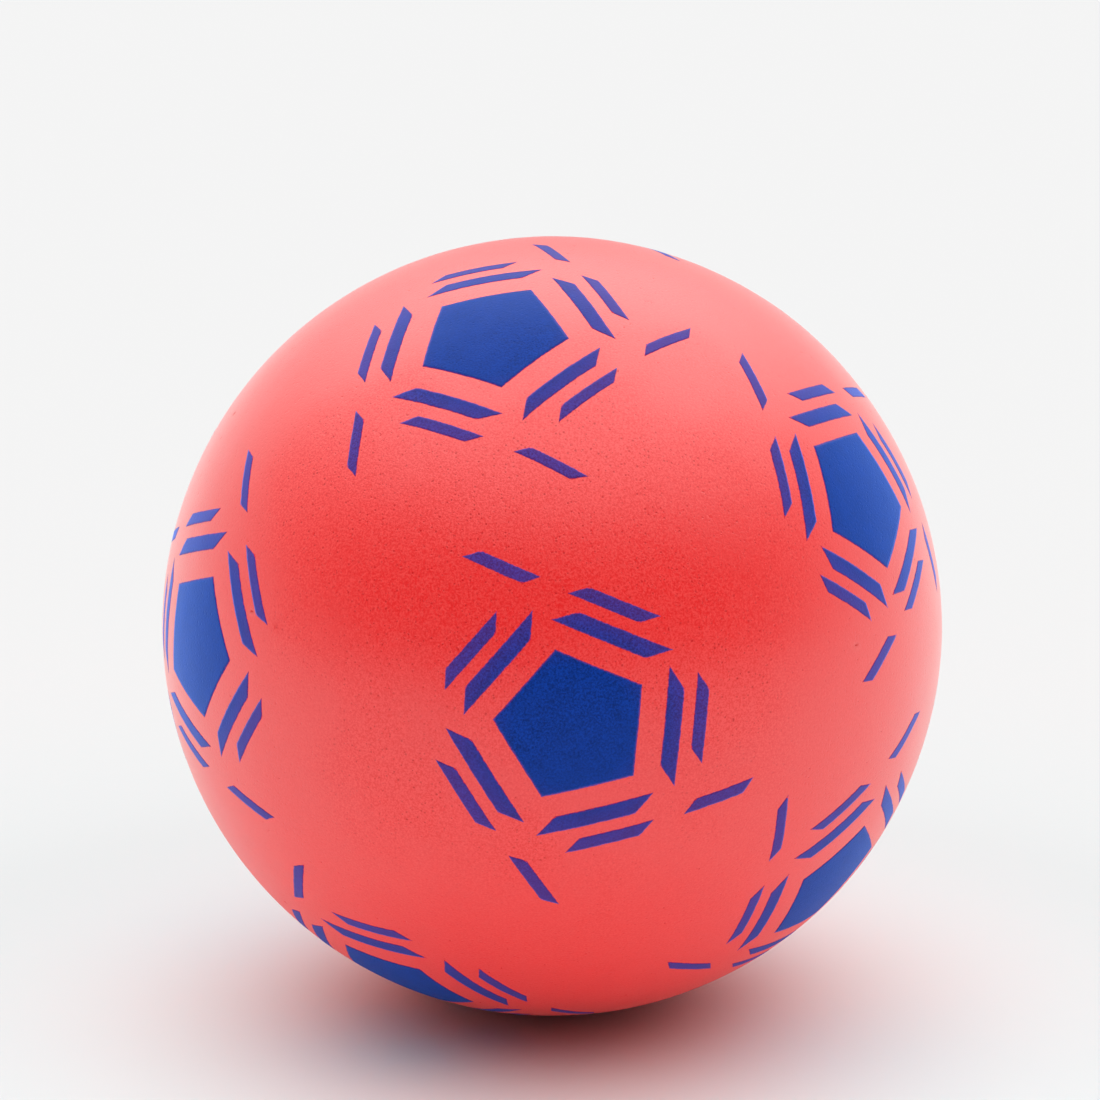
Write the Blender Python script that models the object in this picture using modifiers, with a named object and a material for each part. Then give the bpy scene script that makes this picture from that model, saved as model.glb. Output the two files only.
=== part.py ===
"""Foam play ball printed like a football.

The ball is one solid moulding of soft red foam. It stands on a small flat where its own weight
presses it on the floor. Twelve blue pentagons are printed on it, and each is modelled as the
thin layer of foam skin that the ink has soaked, seated in the foam with a small gap all round.

Metres, +Z up, origin at the ball's centre. The front of the ball faces -Y.
"""

import math

import bmesh
import bpy
from mathutils import Matrix, Vector

# Driving sizes of the ball
BALL_DIAMETER = 0.200
REST_FLAT_RADIUS = 0.012

# Driving sizes of the print: corner distance is from a pentagon's middle, along the surface
PENTAGON_CORNER_DISTANCE = 0.0188
INK_DEPTH = 0.0006
INK_GAP = 0.0003

# Places of the pentagons that show from the front, in degrees: round from the front towards
# +X, up from the middle height, and the turn of a corner from straight up, anticlockwise.
FRONT_PENTAGONS = {
    "top": (-16.4, 59.3, 57.1),
    "front": (2.8, 1.5, 12.8),
    "right": (58.2, 27.1, 34.2),
    "left": (-61.9, 4.9, 53.3),
    "lower_right": (55.4, -32.5, 68.7),
    "lower_left": (-38.3, -52.8, 25.6),
}
PENTAGON_SIDES = 5
SECTOR = 360.0 / PENTAGON_SIDES

# How finely the round faces are cut: the arc's steps are those of the half above the middle
# height, and of the half below it
TURN_STEPS = 60
ARC_STEPS = 15
PENTAGON_CUTS = 3
# How far the cutters stand out of the ball
CUTTER_PROUD = 0.002

FOAM_RED = (0.80, 0.050, 0.050, 1.0)
INK_BLUE = (0.012, 0.040, 0.260, 1.0)


def clear_scene():
    for obj in list(bpy.data.objects):
        bpy.data.objects.remove(obj)


def new_collection(name):
    collection = bpy.data.collections.new(name)
    bpy.context.scene.collection.children.link(collection)
    return collection


def plain_material(name, colour, roughness):
    material = bpy.data.materials.new(name)
    material.use_nodes = True
    shader = material.node_tree.nodes["Principled BSDF"]
    shader.inputs["Base Color"].default_value = colour
    shader.inputs["Roughness"].default_value = roughness
    shader.inputs["Metallic"].default_value = 0.0
    return material


def new_object(name, mesh, collection):
    obj = bpy.data.objects.new(name, mesh)
    collection.objects.link(obj)
    return obj


def rest_flat_height():
    """Height of the flat below the ball's centre."""
    radius = BALL_DIAMETER / 2
    return math.sqrt(radius**2 - REST_FLAT_RADIUS**2)


def ball_profile():
    """Half outline of the ball, from its top down its outer side to the middle of the flat."""
    radius = BALL_DIAMETER / 2
    to_flat = math.asin(rest_flat_height() / radius)
    upper = [math.pi / 2 * (1 - i / ARC_STEPS) for i in range(1, ARC_STEPS + 1)]
    lower = [-to_flat * i / ARC_STEPS for i in range(1, ARC_STEPS + 1)]
    outer = [(radius * math.cos(a), radius * math.sin(a)) for a in upper + lower]
    return [(0.0, radius)] + outer + [(0.0, -rest_flat_height())]


def turned_mesh(name, profile):
    """A line of points in the XZ plane, joined by edges, for a Screw modifier to turn."""
    mesh = bpy.data.meshes.new(name)
    bm = bmesh.new()
    verts = [bm.verts.new((x, 0.0, z)) for x, z in profile]
    for upper, lower in zip(verts, verts[1:]):
        bm.edges.new((upper, lower))
    bm.to_mesh(mesh)
    bm.free()
    return mesh


def make_ball(collection, material):
    ball = new_object("foam_ball", turned_mesh("foam_ball", ball_profile()), collection)
    ball.data.materials.append(material)
    turn = ball.modifiers.new("turn", "SCREW")
    turn.steps = TURN_STEPS
    turn.render_steps = TURN_STEPS
    turn.use_merge_vertices = True
    turn.merge_threshold = 0.00001
    turn.use_smooth_shade = True
    return ball


def pentagon_mesh(name, corner_distance, radius):
    """A pentagon laid on the top of a ball of this radius, its first corner towards +Y.

    The corner distance is measured along the surface of the printed ball.
    """
    mesh = bpy.data.meshes.new(name)
    bm = bmesh.new()
    bmesh.ops.create_circle(
        bm, cap_ends=True, cap_tris=True, segments=PENTAGON_SIDES, radius=corner_distance
    )
    bmesh.ops.subdivide_edges(bm, edges=bm.edges, cuts=PENTAGON_CUTS, use_grid_fill=True)
    bmesh.ops.recalc_face_normals(bm, faces=bm.faces)
    for vert in bm.verts:
        wrap_on_ball(vert, radius)
    if sum((face.normal.z for face in bm.faces)) < 0:
        bmesh.ops.reverse_faces(bm, faces=bm.faces)
    bm.to_mesh(mesh)
    bm.free()
    mesh.shade_smooth()
    return mesh


def wrap_on_ball(vert, radius):
    """Bends a flat point near the origin onto the top of a ball, keeping its distance."""
    flat = Vector((vert.co.x, vert.co.y))
    if flat.length == 0:
        vert.co = Vector((0.0, 0.0, radius))
        return
    away = flat.length / (BALL_DIAMETER / 2)
    flat.normalize()
    vert.co = Vector((flat.x * math.sin(away), flat.y * math.sin(away), math.cos(away))) * radius


def place_on_ball(around, up, turn):
    """Rotation that takes the top of the ball, its corner at +Y, to a printed place."""
    return (
        Matrix.Rotation(math.radians(around), 4, "Z")
        @ Matrix.Rotation(math.radians(90.0 - up), 4, "X")
        @ Matrix.Rotation(math.radians(turn), 4, "Z")
    )


def printed_places():
    """The twelve places: those at the front, then the ones straight opposite them."""
    front = list(FRONT_PENTAGONS.values())
    opposite = [(around + 180.0, -up, SECTOR / 2 - turn) for around, up, turn in front]
    return front + opposite


def make_pentagons(collection, material):
    mesh = pentagon_mesh("printed_pentagon", PENTAGON_CORNER_DISTANCE, BALL_DIAMETER / 2)
    mesh.materials.append(material)
    for number, place in enumerate(printed_places(), 1):
        pentagon = new_object(f"printed_pentagon_{number:02d}", mesh, collection)
        pentagon.rotation_euler = place_on_ball(*place).to_euler()
        soak = pentagon.modifiers.new("ink depth", "SOLIDIFY")
        soak.thickness = INK_DEPTH
        soak.offset = -1.0


def make_seat_cutters(collection):
    """One cutter for each pentagon's seat: wider by the gap, and deeper by it."""
    clearance = INK_GAP / math.cos(math.radians(SECTOR / 2))
    top = BALL_DIAMETER / 2 + CUTTER_PROUD
    mesh = pentagon_mesh("seat_cutter", PENTAGON_CORNER_DISTANCE + clearance, top)
    for number, place in enumerate(printed_places(), 1):
        cutter = new_object(f"seat_cutter_{number:02d}", mesh, collection)
        cutter.rotation_euler = place_on_ball(*place).to_euler()
        cutter.hide_render = True
        cutter.display_type = "WIRE"
        reach = cutter.modifiers.new("seat depth", "SOLIDIFY")
        reach.thickness = CUTTER_PROUD + INK_DEPTH + INK_GAP
        reach.offset = -1.0


def cut_seats(ball, cutters):
    cut = ball.modifiers.new("pentagon seats", "BOOLEAN")
    cut.operation = "DIFFERENCE"
    cut.operand_type = "COLLECTION"
    cut.collection = cutters
    cut.solver = "EXACT"


def main():
    clear_scene()
    parts = new_collection("foam_ball_printed")
    cutters = new_collection("cutters")
    cutters.hide_render = True
    ball = make_ball(parts, plain_material("foam", FOAM_RED, 0.75))
    make_pentagons(parts, plain_material("ink", INK_BLUE, 0.6))
    make_seat_cutters(cutters)
    cut_seats(ball, cutters)


main()
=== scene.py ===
"""Looks of a foam play ball printed like a football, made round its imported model.

The foam is one padded piece whose skin has faint waves, a grain and open pores. The print is
ink soaked into that skin: twelve figures, each of a pentagon, two bars beside each of its
sides and a dash beyond most of its corners. Metres, +Z up, origin at the ball's centre.
"""

import math
import random
from collections import defaultdict, namedtuple

import bmesh
import bpy
from mathutils import Matrix, Vector, noise


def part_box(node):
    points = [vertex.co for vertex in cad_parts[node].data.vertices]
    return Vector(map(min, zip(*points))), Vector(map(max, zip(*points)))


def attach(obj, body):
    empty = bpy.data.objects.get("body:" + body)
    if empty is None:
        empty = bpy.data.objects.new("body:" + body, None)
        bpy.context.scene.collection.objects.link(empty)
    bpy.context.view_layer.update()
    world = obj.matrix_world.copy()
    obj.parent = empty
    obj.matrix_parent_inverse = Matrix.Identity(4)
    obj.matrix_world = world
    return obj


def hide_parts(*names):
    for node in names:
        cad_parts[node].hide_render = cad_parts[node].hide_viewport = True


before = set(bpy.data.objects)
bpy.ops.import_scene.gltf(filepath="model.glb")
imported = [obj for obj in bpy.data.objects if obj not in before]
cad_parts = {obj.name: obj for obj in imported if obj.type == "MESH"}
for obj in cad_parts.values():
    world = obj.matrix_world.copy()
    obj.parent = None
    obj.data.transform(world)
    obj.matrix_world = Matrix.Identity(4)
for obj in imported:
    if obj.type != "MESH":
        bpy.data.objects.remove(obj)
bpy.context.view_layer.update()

BALL_LOW, BALL_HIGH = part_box("foam_ball")
BALL_RADIUS = (BALL_HIGH.x - BALL_LOW.x) / 2
FLOOR_HEIGHT = BALL_LOW.z

# The photograph's view: where the ball lies in its square frame, in its pixels, and how far
# off and how far downwards the camera looks at it
FRAME_PX = 1100
BALL_MIDDLE_PX = Vector((552.1, 625.2))
BALL_RADIUS_PX = 389.6
CAMERA_DISTANCE = 0.935
CAMERA_DOWN = math.radians(14.0)
SENSOR_WIDTH_MM = 36.0
CLIP_END = 100.0

# The foam's skin
SKIN_CUTS = 99
SKIN_JITTER = 0.00018
WAVE_LENGTH, WAVE_HEIGHT = 0.030, 0.00012
RIPPLE_LENGTH, RIPPLE_HEIGHT = 0.007, 0.00003
PORE_WIDTHS, PORE_STEP = (0.00028, 0.00052), 0.00006
PORE_DEPTH = 0.00014
# There are no pores nearer to the floor than this
PORES_OVER_FLOOR = 0.002
# Share of the skin's cells with a pore, in its close patches and where it is open
PORE_SHARES = (0.005, 0.06)
OPEN_WAY = Vector((-0.08, -0.90, 0.40)).normalized()
OPEN_FROM, OPEN_TO = 0.66, 0.99
# Patches in which the skin is more or less open: how fine they are, and where in the noise
OPEN_PATCHES, OPEN_PATCHES_SHIFT = 3.0, Vector((5.0, 2.0, 8.0))
# What only the material shows: clouds in the colour, a grain, and holes finer than the pores
CLOUD_SIZE, GRAIN_SIZE, PINHOLE_SPACING = 0.035, 0.00050, 0.0009
BUMP_HEIGHT, BUMP_STRENGTH = 0.00010, 0.6

# The print, measured along the skin from a figure's middle. Along a side, clockwise counts as
# plus, seen from outside; a mirrored figure has it the other way round.
SECTOR = math.radians(72.0)
PENTAGON_CORNER = 0.0188
PENTAGON_CUTS = 18
Bar = namedtuple("Bar", "middle near length width slant")
INNER_BAR = Bar(middle=-0.0003, near=0.0213, length=0.0243, width=0.0042, slant=0.0055)
OUTER_BAR = Bar(middle=-0.0025, near=0.0285, length=0.0186, width=0.0033, slant=0.0042)
DASH = Bar(middle=-0.0309, near=0.0264, length=0.0158, width=0.0032, slant=0.0036)
INK_CELL = 0.0008
INK_PROUD = 0.000025
INK_DEPTH = 0.00015
EDGE_WAVER, EDGE_WAVER_LENGTH, EDGE_WAVER_REACH = 0.00010, 0.0016, 0.0008
RAG_SIZE, BLOTCH_SIZE = 0.0007, 0.0040
# How far the ink's rag shifts its edge, and how far inside the edge it begins to cover the
# foam and covers it; then the same for where it is at its full strength
COVER_RAG, COVER_REACH = 0.0005, (-0.00008, 0.00014)
FULL_RAG, FULL_REACH = 0.0006, (0.00005, 0.00050)

# The twelve figures. A mirrored one is the mirror image of the front one. The bars and dashes
# round a pentagon, its ring, are printed apart from it: a little off to the right and up as
# seen from outside, a little larger or smaller, turned, and thinner on each side of a bar.
Figure = namedtuple("Figure", "node name mirrored ring_right ring_up ring_size ring_turn thin")
FIGURES = (
    Figure("printed_pentagon_01", "top", False, 0.0002, 0.0001, 1.015, -0.6, 0.00018),
    Figure("printed_pentagon_02", "front", False, 0.00015, -0.0001, 0.99, 0.0, 0.0),
    Figure("printed_pentagon_03", "right", True, 0.0, -0.0004, 0.955, -0.5, 0.00002),
    Figure("printed_pentagon_04", "left", False, -0.0001, 0.0004, 1.02, -1.1, 0.00015),
    Figure("printed_pentagon_05", "lower_right", True, -0.0002, 0.0003, 1.01, -1.4, 0.00011),
    Figure("printed_pentagon_06", "lower_left", True, 0.0007, -0.0004, 1.03, 2.1, 0.00006),
    Figure("printed_pentagon_07", "under", True, 0.0002, 0.0003, 1.01, 0.5, 0.00010),
    Figure("printed_pentagon_08", "back", True, 0.0003, -0.0002, 1.02, -0.5, 0.00004),
    Figure("printed_pentagon_09", "back_lower_left", False, 0.0, 0.0004, 1.00, 0.8, 0.00016),
    Figure("printed_pentagon_10", "back_right", True, -0.0003, 0.0002, 1.02, 0.4, 0.00012),
    Figure("printed_pentagon_11", "back_left", False, 0.0003, 0.0, 1.00, -0.7, 0.00008),
    Figure("printed_pentagon_12", "back_top", False, 0.0002, -0.0003, 1.02, 0.3, 0.00014),
)
# Sides whose bars and dash lie further off, to the right and up. Sides are counted from 0,
# anticlockwise from the highest corner.
SIDE_SLIPS = {
    ("top", 1): (-0.0010, -0.0003),
    ("top", 4): (0.0002, -0.0002),
    ("front", 1): (-0.0011, -0.0003),
    ("front", 2): (-0.0003, 0.0003),
    ("front", 3): (0.0002, 0.0008),
    ("front", 4): (0.0003, 0.0),
    ("right", 1): (0.0002, 0.0002),
}
# A CAD pentagon's corners lie past this share of its reach, and the cosine of the angle between
# two neighbouring figures lies between these
CORNER_REACH, NEIGHBOUR_COSINES = 0.998, (0.1, 0.9)
# Dashes that the ball doesn't have: from this figure's corner towards that figure
NO_DASH = {
    ("top", "back_left"),
    ("front", "right"),
    ("right", "front"),
    ("front", "left"),
    ("left", "front"),
    ("lower_left", "front"),
}

DEEP_FOAM, PALE_FOAM = (0.80, 0.001, 0.002), (0.88, 0.043, 0.039)
# Painted shade: the bottoms of the pits and the pinholes are painted this deep red, for the
# shade inside a hole. The pits are real dents as well.
PORE_SHADE_COLOUR = (0.480, 0.002, 0.006)
DEEP_INK, PALE_INK = (0.001, 0.016, 0.130), (0.003, 0.042, 0.340)
# Gloss, and a pale bloom at a slant: whitish on the foam, bluish on the ink
Finish = namedtuple("Finish", "gloss bloom bloom_colour")
FOAM_FINISH = Finish(gloss=0.84, bloom=0.40, bloom_colour=(1.0, 0.93, 0.91))
INK_FINISH = Finish(gloss=0.06, bloom=0.90, bloom_colour=(0.10, 0.28, 1.0))
GLOSS_ROUGHNESS, BLOOM_ROUGHNESS = 0.30, 0.5
# Share that has neither: where the skin is open, and underneath, from and to these shares of the
# way from the ball's middle down to its lowest point. Underneath this is painted shade: gloss
# and bloom go where the ball faces its own shadow on the floor.
OPEN_BARE, UNDERSIDE_SHADE_BARE, UNDERSIDE_SHADE_REACH = 0.20, 0.6, (0.0, 0.90)
# Share of the foam's red that shows through the ink at the rim of a figure, and at an edge
THIN_SHARE, THIN_REACH = 0.09, (0.013, 0.037)
EDGE_SHARE = 0.14
# Grey of the floor, which this light turns to near white. Near the ball the floor is painted
# paler, a painted light that thins the ball's shadow in front of it. The last is what the floor
# gives back to the ball.
FLOOR_GREY, PAINTED_LIGHT_FLOOR_GREY, FLOOR_BOUNCE = 0.588, 0.81, 1.0
# Where the painted light on the floor is centred, and over what distances it fades out
PAINTED_LIGHT_MIDDLE, PAINTED_LIGHT_REACH = Vector((0.0, -0.05, 0.0)), (0.06, 0.22)
# Where the floor is a shade less red, against the ball's red glow: from and to these distances
GLOW_FROM, GLOW_TO, GLOW_CUT = (0.04, 0.10), (0.11, 0.40), 0.08
FLOOR_HALF_WIDTH = 40.0
SEEING_RAYS = ("Camera", "Glossy", "Transmission")
ROOM_LIGHT = 0.66
FRONT_DIMMING, FRONT_WAY, FRONT_EDGE = 0.58, Vector((0.0, -1.0, 0.1)), (-0.5, 0.6)
SOFT_BOX_LIGHT, SOFT_BOX_WAY, SOFT_BOX_EDGE = 2.10, Vector((0.03, 0.12, 1.0)), (0.36, 0.93)


class Socket:
    """A shader node's output, so that sums on it are written as Python expressions."""

    def __init__(self, shader, socket):
        self.shader = shader
        self.socket = socket

    def maths(self, operation, *values):
        return self.shader.node("ShaderNodeMath", {"operation": operation}, values)

    def __add__(self, other):
        return self.maths("ADD", self, other)

    def __radd__(self, other):
        return self.maths("ADD", other, self)

    def __sub__(self, other):
        return self.maths("SUBTRACT", self, other)

    def __rsub__(self, other):
        return self.maths("SUBTRACT", other, self)

    def __mul__(self, other):
        return self.maths("MULTIPLY", self, other)

    def __rmul__(self, other):
        return self.maths("MULTIPLY", other, self)

    def __truediv__(self, other):
        return self.maths("DIVIDE", self, other)

    def __rtruediv__(self, other):
        return self.maths("DIVIDE", other, self)

    def __pow__(self, other):
        return self.maths("POWER", self, other)


class Shader:
    """The nodes of one material, or of the world."""

    def __init__(self, owner):
        owner.use_nodes = True
        self.nodes = owner.node_tree.nodes
        self.links = owner.node_tree.links
        self.nodes.clear()

    def node(self, kind, settings=None, values=(), output=0):
        """Adds a node, sets it, and fills its sockets: by place from a list, or by name."""
        made = self.nodes.new(kind)
        for name, setting in (settings or {}).items():
            setattr(made, name, setting)
        named = values.items() if isinstance(values, dict) else enumerate(values)
        for key, value in named:
            if isinstance(value, Socket):
                self.links.new(value.socket, made.inputs[key])
            else:
                made.inputs[key].default_value = value
        return Socket(self, made.outputs[output]) if made.outputs else made

    def object_place(self):
        return self.node("ShaderNodeTexCoord", output="Object")

    def noise(self, place, size, detail=2.0, roughness=0.5):
        values = {"Vector": place, "Scale": 1 / size, "Detail": detail, "Roughness": roughness}
        return self.node("ShaderNodeTexNoise", None, values)

    def dot(self, first, second):
        settings = {"operation": "DOT_PRODUCT"}
        return self.node("ShaderNodeVectorMath", settings, [first, second], output="Value")

    def smooth_step(self, value, low, high):
        """0 below low, 1 above high, and an even rise between them."""
        settings = {"interpolation_type": "SMOOTHSTEP"}
        values = {"Value": value, "From Min": low, "From Max": high}
        return self.node("ShaderNodeMapRange", settings, values)

    def mix(self, share, first, second):
        """Colour between two colours."""
        colours = [c if isinstance(c, Socket) else (*c, 1.0) for c in (first, second)]
        settings = {"data_type": "RGBA", "clamp_factor": True}
        # A Mix node's colour sockets follow those for numbers and vectors
        values = {0: share, 6: colours[0], 7: colours[1]}
        return self.node("ShaderNodeMix", settings, values, output=2)


def new_material(name):
    material = bpy.data.materials.new(name)
    return material, Shader(material)


# What a skin's materials share: where a point is, how high the skin is there, how much of its
# pores' painted shade it has, and how bare and speckled it is
Skin = namedtuple("Skin", "place colour height dark bare speckle")


def foam_skin(shader):
    """The bare foam's skin, whose height, pores and speckle the ink shares."""
    place = shader.object_place()
    cloud = shader.noise(place, CLOUD_SIZE)
    aside = shader.dot(place, OPEN_WAY / BALL_RADIUS)
    aside = aside.maths("ABSOLUTE", aside) + (cloud - 0.5) * 0.9
    open_skin = shader.smooth_step(aside, OPEN_FROM, OPEN_TO)
    grain = shader.noise(place, GRAIN_SIZE, detail=2.0, roughness=0.7)
    bubble = {"Vector": place, "Scale": 1 / PINHOLE_SPACING, "Randomness": 1.0}
    away = shader.node("ShaderNodeTexVoronoi", None, bubble, output="Distance")
    luck = shader.node("ShaderNodeTexVoronoi", None, bubble, output="Color")
    luck = shader.node("ShaderNodeSeparateColor", None, [luck])
    pinhole = 1 - shader.smooth_step(away / (luck * luck * 0.42 + 0.06), 0.3, 1.0)
    pit = shader.node("ShaderNodeAttribute", {"attribute_name": "pore"}, output="Fac")
    pit = shader.smooth_step(pit, 0.1, 0.9)
    speckle = (grain - 0.5) * (open_skin * 3.4 + 1.5)
    tone = shader.mix(speckle + (cloud - 0.5) * 0.4 + 0.5, DEEP_FOAM, PALE_FOAM)
    # Painted shade in the pits and pinholes: their colour goes towards the pore shade colour
    dark = pit.maths("MAXIMUM", pit * 0.45, pinhole * (open_skin * 0.48 + 0.08))
    colour = shader.mix(dark, tone, PORE_SHADE_COLOUR)
    height = grain * 0.9 - pinhole * 0.5
    bare = dark.maths("MAXIMUM", dark, open_skin * OPEN_BARE)
    return Skin(place, colour, height, dark, bare, speckle)


def matt_surface(shader, skin, colour, finish):
    """Gives a material a faint gloss and a pale bloom, less of both in pores and underneath:
    painted shade.
    """
    normal = shader.node("ShaderNodeBump", None, {
        "Height": skin.height,
        "Distance": BUMP_HEIGHT,
        "Strength": BUMP_STRENGTH,
    })
    glossy = shader.node("ShaderNodeBsdfPrincipled", None, {
        "Base Color": colour,
        "Normal": normal,
        "Roughness": GLOSS_ROUGHNESS,
        "Specular IOR Level": finish.gloss,
        "Sheen Weight": finish.bloom,
        "Sheen Roughness": BLOOM_ROUGHNESS,
        "Sheen Tint": (*finish.bloom_colour, 1.0),
    })
    plain = shader.node("ShaderNodeBsdfDiffuse", None, {"Color": colour, "Normal": normal})
    # Painted shade: less gloss and bloom towards the bottom, where the ball faces its shadow
    down = shader.dot(skin.place, Vector((0.0, 0.0, -1 / BALL_RADIUS)))
    bare_share = skin.bare + shader.smooth_step(down, *UNDERSIDE_SHADE_REACH) * UNDERSIDE_SHADE_BARE
    surface = shader.node("ShaderNodeMixShader", None, [bare_share, glossy, plain])
    shader.node("ShaderNodeOutputMaterial", None, {"Surface": surface})


def foam_material():
    material, shader = new_material("soft red foam")
    skin = foam_skin(shader)
    matt_surface(shader, skin, skin.colour, FOAM_FINISH)
    return material


def ink_material():
    """Ink soaked into the foam: finely mottled, and red shows through where it is thin."""
    material, shader = new_material("blue ink in foam")
    skin = foam_skin(shader)
    from_edge = shader.node("ShaderNodeAttribute", {"attribute_name": "from_edge"}, output="Fac")
    from_middle = shader.node(
        "ShaderNodeAttribute", {"attribute_name": "from_middle"}, output="Fac"
    )
    rag = shader.noise(skin.place, RAG_SIZE, detail=3.0)
    blotch = shader.noise(skin.place, BLOTCH_SIZE, detail=3.0)
    covered = shader.smooth_step(from_edge + (rag - 0.5) * COVER_RAG, *COVER_REACH)
    full = shader.smooth_step(from_edge + (rag - 0.5) * FULL_RAG, *FULL_REACH)
    ink = shader.mix(skin.speckle * 0.55 + (blotch - 0.5) * 0.5 + 0.5, DEEP_INK, PALE_INK)
    # The painted shade of the pores shows in the ink too
    ink = shader.mix(skin.dark * 0.4, ink, [channel * 0.5 for channel in DEEP_INK])
    thin = shader.smooth_step(from_middle, *THIN_REACH) * THIN_SHARE
    thin = thin.maths("MAXIMUM", thin, (1 - full) * EDGE_SHARE)
    colour = shader.mix(1 - covered * (1 - thin), ink, skin.colour)
    matt_surface(shader, skin, colour, INK_FINISH)
    return material


def skin_radius(way):
    """How far the skin is from the ball's centre in this direction, with its faint waves."""
    wave = noise.noise(way * (BALL_RADIUS / WAVE_LENGTH)) * WAVE_HEIGHT
    ripple = noise.noise(way * (BALL_RADIUS / RIPPLE_LENGTH)) * RIPPLE_HEIGHT
    return BALL_RADIUS + wave + ripple


def on_skin(way, lift):
    """The point over the skin in this direction, pressed flat where the ball stands."""
    point = way * (skin_radius(way) + lift)
    point.z = max(point.z, FLOOR_HEIGHT)
    return point


def open_share(way):
    """How open the skin is in this direction, from 0 to 1."""
    cloud = noise.noise(way * OPEN_PATCHES + OPEN_PATCHES_SHIFT)
    share = (abs(way.dot(OPEN_WAY)) + cloud * 0.4 - OPEN_FROM) / (OPEN_TO - OPEN_FROM)
    return min(1.0, max(0.0, share))


def open_pores(bm, faces, draw):
    """Sinks a small pit in the middle of each of these faces, and marks its bottom."""
    pore = bm.verts.layers.float["pore"]
    by_rim = defaultdict(list)
    for face in faces:
        across = min(edge.calc_length() for edge in face.edges)
        rim = (across - draw.uniform(*PORE_WIDTHS)) / 2
        by_rim[round(rim / PORE_STEP)].append(face)
    for steps, group in sorted(by_rim.items()):
        bmesh.ops.inset_individual(
            bm, faces=group, thickness=steps * PORE_STEP, use_even_offset=True
        )
        sunk = bmesh.ops.poke(bm, faces=group, offset=-PORE_DEPTH)
        for vert in sunk["verts"]:
            vert[pore] = 1.0


def finish_piece(name, bm, material, slot_name, *replaced):
    """Makes a bmesh a smooth piece of the ball that stands for these CAD nodes."""
    mesh = bpy.data.meshes.new(name)
    bm.to_mesh(mesh)
    bm.free()
    mesh.shade_smooth()
    mesh.materials.append(material)
    piece = bpy.data.objects.new(name, mesh)
    bpy.context.scene.collection.objects.link(piece)
    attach(piece, "root")
    if replaced:
        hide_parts(*replaced)
    return piece


def make_foam(material):
    """The foam: a finely cut cube blown up to a ball, so that its cells are even."""
    draw = random.Random(7)
    bm = bmesh.new()
    bmesh.ops.create_cube(bm, size=2.0)
    bmesh.ops.subdivide_edges(bm, edges=bm.edges, cuts=SKIN_CUTS, use_grid_fill=True)
    for vert in bm.verts:
        spread = Vector([math.tan(part * math.pi / 4) for part in vert.co])
        nudge = Vector([draw.uniform(-SKIN_JITTER, SKIN_JITTER) for _ in range(3)])
        vert.co = (spread.normalized() * BALL_RADIUS + nudge).normalized() * BALL_RADIUS
    bm.verts.layers.float.new("pore")
    few, many = PORE_SHARES
    chosen = []
    for face in bm.faces:
        middle = face.calc_center_median()
        chance = few + (many - few) * open_share(middle.normalized())
        if draw.random() < chance and middle.z > FLOOR_HEIGHT + PORES_OVER_FLOOR:
            chosen.append(face)
    open_pores(bm, chosen, draw)
    for vert in bm.verts:
        way = vert.co.normalized()
        vert.co = on_skin(way, vert.co.length - BALL_RADIUS)
    foam = finish_piece("foam_body", bm, material, "foam", "foam_ball")


def pentagon_outline(turn):
    """A pentagon's corners, anticlockwise, the first one turned this far from straight up."""
    up = Vector((0.0, PENTAGON_CORNER))
    return [Matrix.Rotation(turn + SECTOR * side, 2) @ up for side in range(5)]


def bar_corners(bar, hand, thin):
    """Corners of a bar beside the side at +Y, anticlockwise from its lower left one."""
    width = bar.width - 2 * thin
    slant = bar.slant * width / bar.width
    length = bar.length - 2 * thin * math.hypot(bar.width, bar.slant) / bar.width
    corners = []
    for across, ends in ((-0.5, (-0.5, 0.5)), (0.5, (0.5, -0.5))):
        height = bar.near + bar.width / 2 + across * width
        middle = hand * (bar.middle + across * slant)
        corners += [Vector((middle + end * length, height)) for end in ends]
    return corners


def distance_inside(point, corners):
    """How far a flat point lies inside the nearest side of an anticlockwise outline."""
    return min(
        (end - start).normalized().cross(point - start)
        for start, end in zip(corners, corners[1:] + corners[:1])
    )


def add_pentagon(bm, corners):
    """A flat pentagon of small triangles."""
    turn = Vector((0.0, 1.0)).angle_signed(corners[0])
    bmesh.ops.create_circle(
        bm,
        cap_ends=True,
        cap_tris=True,
        segments=5,
        radius=PENTAGON_CORNER,
        matrix=Matrix.Rotation(-turn, 4, "Z"),
    )
    bmesh.ops.subdivide_edges(bm, edges=bm.edges, cuts=PENTAGON_CUTS, use_grid_fill=True)
    return bm.verts


def add_bar(bm, corners):
    """A flat bar of small four-sided cells between its four corners."""
    along, across = corners[1] - corners[0], corners[3] - corners[0]
    middle = corners[0] + (along + across) / 2
    made = bmesh.ops.create_grid(
        bm,
        x_segments=round(along.length / INK_CELL),
        y_segments=round(across.length / INK_CELL),
        size=0.5,
    )
    stretch = Matrix.Identity(4)
    stretch.col[0] = (along.x, along.y, 0, 0)
    stretch.col[1] = (across.x, across.y, 0, 0)
    stretch.col[3] = (middle.x, middle.y, 0, 1)
    bmesh.ops.transform(bm, matrix=stretch, verts=made["verts"])
    return made["verts"]


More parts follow.
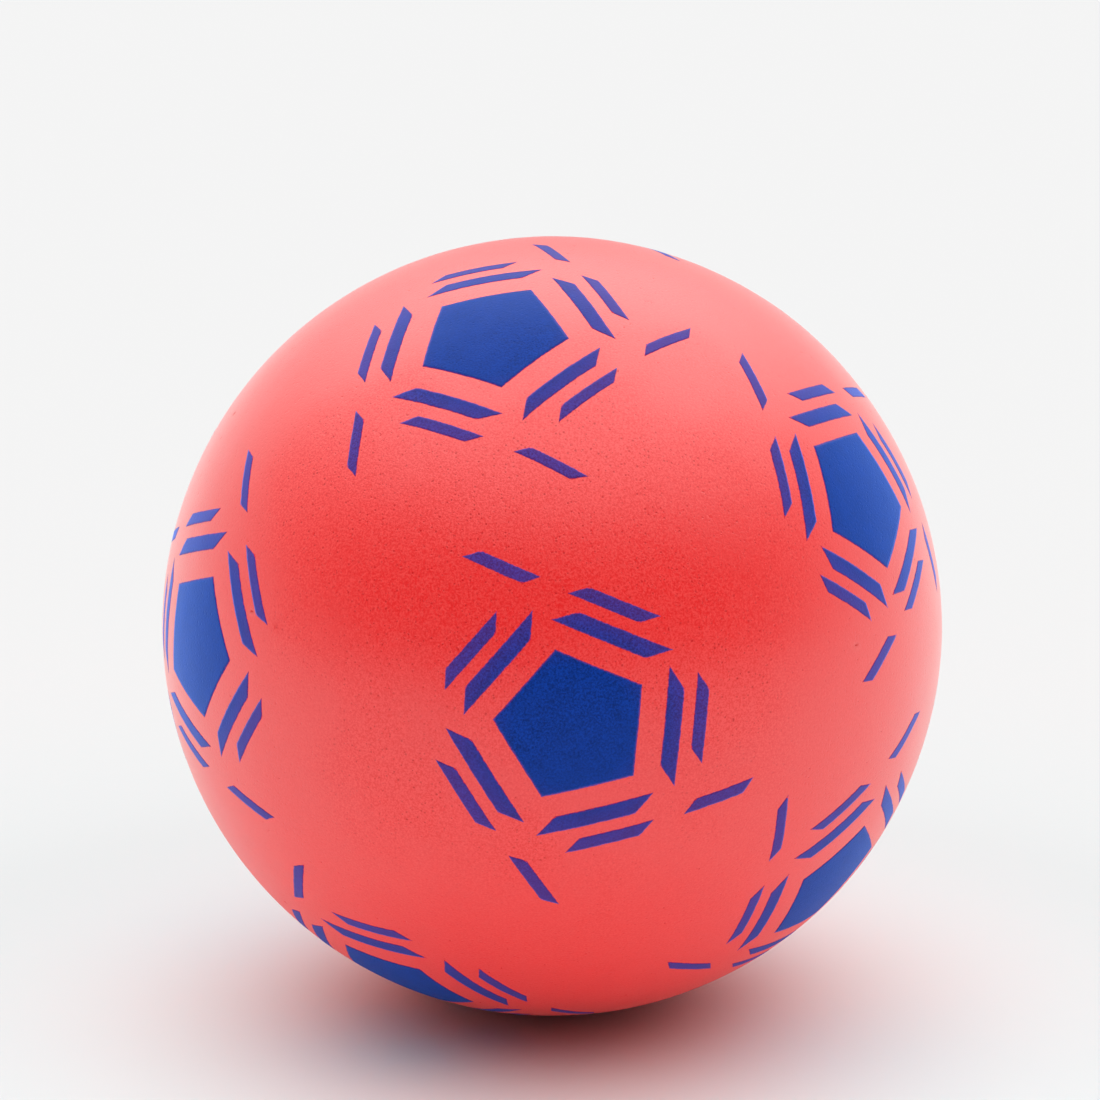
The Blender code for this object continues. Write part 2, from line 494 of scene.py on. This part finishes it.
def lay_print(name, place, outlines, add_shape, material, *replaced):
    """Lays flat shapes on the ball as one piece: a film of ink that reaches into the foam."""
    bm = bmesh.new()
    from_edge = bm.verts.layers.float.new("from_edge")
    from_middle = bm.verts.layers.float.new("from_middle")
    for corners in outlines:
        for vert in add_shape(bm, corners):
            vert[from_edge] = max(0.0, distance_inside(vert.co.xy, corners))
            vert[from_middle] = vert.co.xy.length
    bmesh.ops.recalc_face_normals(bm, faces=bm.faces)
    top = list(bm.faces)
    made = bmesh.ops.extrude_face_region(bm, geom=top, use_keep_orig=True)
    lower = [part for part in made["geom"] if isinstance(part, bmesh.types.BMVert)]
    bmesh.ops.translate(bm, verts=lower, vec=(0.0, 0.0, -INK_DEPTH))
    bmesh.ops.recalc_face_normals(bm, faces=bm.faces)
    for vert in bm.verts:
        flat, lift = vert.co.xy, vert.co.z + INK_PROUD
        away = flat.length / BALL_RADIUS
        side = flat.normalized() * math.sin(away) if flat.length else Vector((0.0, 0.0))
        way = place @ Vector((side.x, side.y, math.cos(away)))
        still = vert[from_edge] / EDGE_WAVER_REACH
        waver = noise.noise_vector(way * (BALL_RADIUS / EDGE_WAVER_LENGTH))
        way += waver * (EDGE_WAVER / BALL_RADIUS * max(0.0, 1 - still))
        vert.co = on_skin(way.normalized(), lift)
    return finish_piece(name, bm, material, "ink", *replaced)


def figure_place(node):
    """Turn that takes a figure drawn round +Z, with up at +Y, to its place on the ball."""
    middle = sum((vert.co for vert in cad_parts[node].data.vertices), Vector()).normalized()
    right = Vector((0.0, 0.0, 1.0)).cross(middle).normalized()
    return Matrix((right, middle.cross(right), middle)).transposed()


def corner_turn(node, place):
    """How far the highest corner of a CAD pentagon is turned from straight up."""
    flat = [place.transposed() @ vert.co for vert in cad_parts[node].data.vertices]
    reach = max(point.xy.length for point in flat)
    corners = [point.xy for point in flat if point.xy.length > CORNER_REACH * reach]
    return -Vector((0.0, 1.0)).angle_signed(max(corners, key=lambda corner: corner.y))


def side_angle(side):
    """Angle from a pentagon's highest corner to the middle of one of its sides."""
    return SECTOR * (side + 0.5)


def ring_outlines(figure, bars, sides, pentagon_turn):
    """Outlines of these bars beside these sides, where the figure's ring lies."""
    hand = -1 if figure.mirrored else 1
    outlines = []
    for side in sides:
        turn = pentagon_turn + side_angle(side) + math.radians(figure.ring_turn)
        turn = Matrix.Rotation(turn, 2)
        aside = Vector((figure.ring_right, figure.ring_up))
        aside += Vector(SIDE_SLIPS.get((figure.name, side), (0.0, 0.0)))
        for bar in bars:
            corners = bar_corners(bar, hand, figure.thin)
            outlines.append([turn @ corner * figure.ring_size + aside for corner in corners])
    return outlines


def towards_figure(place, angle, places):
    """Name of the figure that lies in this direction from a figure's middle."""
    out = place @ Vector((-math.sin(angle), math.cos(angle), 0.0))
    middle = place.col[2]
    low, high = NEIGHBOUR_COSINES
    near = {
        name: other.col[2].dot(out)
        for name, other in places.items()
        if low < other.col[2].dot(middle) < high
    }
    return max(near, key=near.get)


def make_print(ink):
    """The twelve figures: for each, its pentagon, its ten bars and its dashes."""
    places = {figure.name: figure_place(figure.node) for figure in FIGURES}
    for figure in FIGURES:
        name, place = figure.name, places[figure.name]
        turn = corner_turn(figure.node, place)
        outlines = [pentagon_outline(turn)]
        lay_print(f"pentagon_{name}", place, outlines, add_pentagon, ink, figure.node)
        bars = ring_outlines(figure, (INNER_BAR, OUTER_BAR), range(5), turn)
        lay_print(f"bars_{name}", place, bars, add_bar, ink)
        to_corner = -SECTOR / 2 if figure.mirrored else SECTOR / 2
        dashed = []
        for side in range(5):
            corner = turn + side_angle(side) + to_corner
            if (name, towards_figure(place, corner, places)) not in NO_DASH:
                dashed.append(side)
        dashes = ring_outlines(figure, (DASH,), dashed, turn)
        lay_print(f"dashes_{name}", place, dashes, add_bar, ink)


def make_camera():
    """The photograph's view. The ball's outline there gives the lens and the aim."""
    distance = CAMERA_DISTANCE / BALL_RADIUS
    focal_px = BALL_RADIUS_PX * math.sqrt(distance**2 - 1)
    aside, below = (BALL_MIDDLE_PX - Vector((FRAME_PX / 2, FRAME_PX / 2))) / focal_px
    sight = Vector((aside, -below, -1.0)).normalized() * CAMERA_DISTANCE
    data = bpy.data.cameras.new("photograph_view")
    data.sensor_width = SENSOR_WIDTH_MM
    data.lens = SENSOR_WIDTH_MM * focal_px / FRAME_PX
    data.clip_end = CLIP_END
    camera = bpy.data.objects.new("photograph_view", data)
    turn = Matrix.Rotation(math.pi / 2 - CAMERA_DOWN, 4, "X")
    camera.matrix_world = Matrix.Translation(-(turn @ sight)) @ turn
    bpy.context.scene.collection.objects.link(camera)
    bpy.context.scene.camera = camera


def make_floor():
    material, shader = new_material("pale floor")
    seen = sum(
        (shader.node("ShaderNodeLightPath", output=f"Is {ray} Ray") for ray in SEEING_RAYS), 0.0
    )
    away = shader.node("ShaderNodeVectorMath", {"operation": "DISTANCE"}, [
        shader.object_place(), PAINTED_LIGHT_MIDDLE + Vector((0.0, 0.0, FLOOR_HEIGHT))
    ], output="Value")
    # Painted light: near the ball the floor is painted paler, which thins its shadow; it fades
    # to the plain grey further off
    far = shader.smooth_step(away, *PAINTED_LIGHT_REACH)
    glow = shader.smooth_step(away, *GLOW_FROM) - shader.smooth_step(away, *GLOW_TO)
    plain = PAINTED_LIGHT_FLOOR_GREY + far * (FLOOR_GREY - PAINTED_LIGHT_FLOOR_GREY)
    red = FLOOR_BOUNCE + seen * (plain * (1 - glow * GLOW_CUT) - FLOOR_BOUNCE)
    other = FLOOR_BOUNCE + seen * (plain - FLOOR_BOUNCE)
    colour = shader.node("ShaderNodeCombineColor", None, [red, other, other])
    surface = shader.node("ShaderNodeBsdfDiffuse", None, {"Color": colour})
    shader.node("ShaderNodeOutputMaterial", None, {"Surface": surface})
    bm = bmesh.new()
    bmesh.ops.create_grid(bm, x_segments=1, y_segments=1, size=FLOOR_HALF_WIDTH)
    bmesh.ops.translate(bm, verts=bm.verts, vec=(0.0, 0.0, FLOOR_HEIGHT))
    mesh = bpy.data.meshes.new("floor")
    bm.to_mesh(mesh)
    bm.free()
    mesh.materials.append(material)
    floor = bpy.data.objects.new("floor", mesh)
    bpy.context.scene.collection.objects.link(floor)


def make_light():
    """A white room, dimmer on the camera's side, with a wide soft box overhead."""
    world = bpy.data.worlds.new("white room")
    bpy.context.scene.world = world
    shader = Shader(world)
    way = shader.node("ShaderNodeTexCoord", output="Generated")
    front = shader.smooth_step(shader.dot(way, FRONT_WAY.normalized()), *FRONT_EDGE)
    box = shader.smooth_step(shader.dot(way, SOFT_BOX_WAY.normalized()), *SOFT_BOX_EDGE)
    strength = ROOM_LIGHT - front * FRONT_DIMMING + box * SOFT_BOX_LIGHT
    values = {"Color": (1.0, 1.0, 1.0, 1.0), "Strength": strength}
    background = shader.node("ShaderNodeBackground", None, values)
    shader.node("ShaderNodeOutputWorld", None, {"Surface": background})


bpy.context.scene.view_settings.view_transform = "Standard"
make_camera()
make_foam(foam_material())
make_print(ink_material())
make_floor()
make_light()
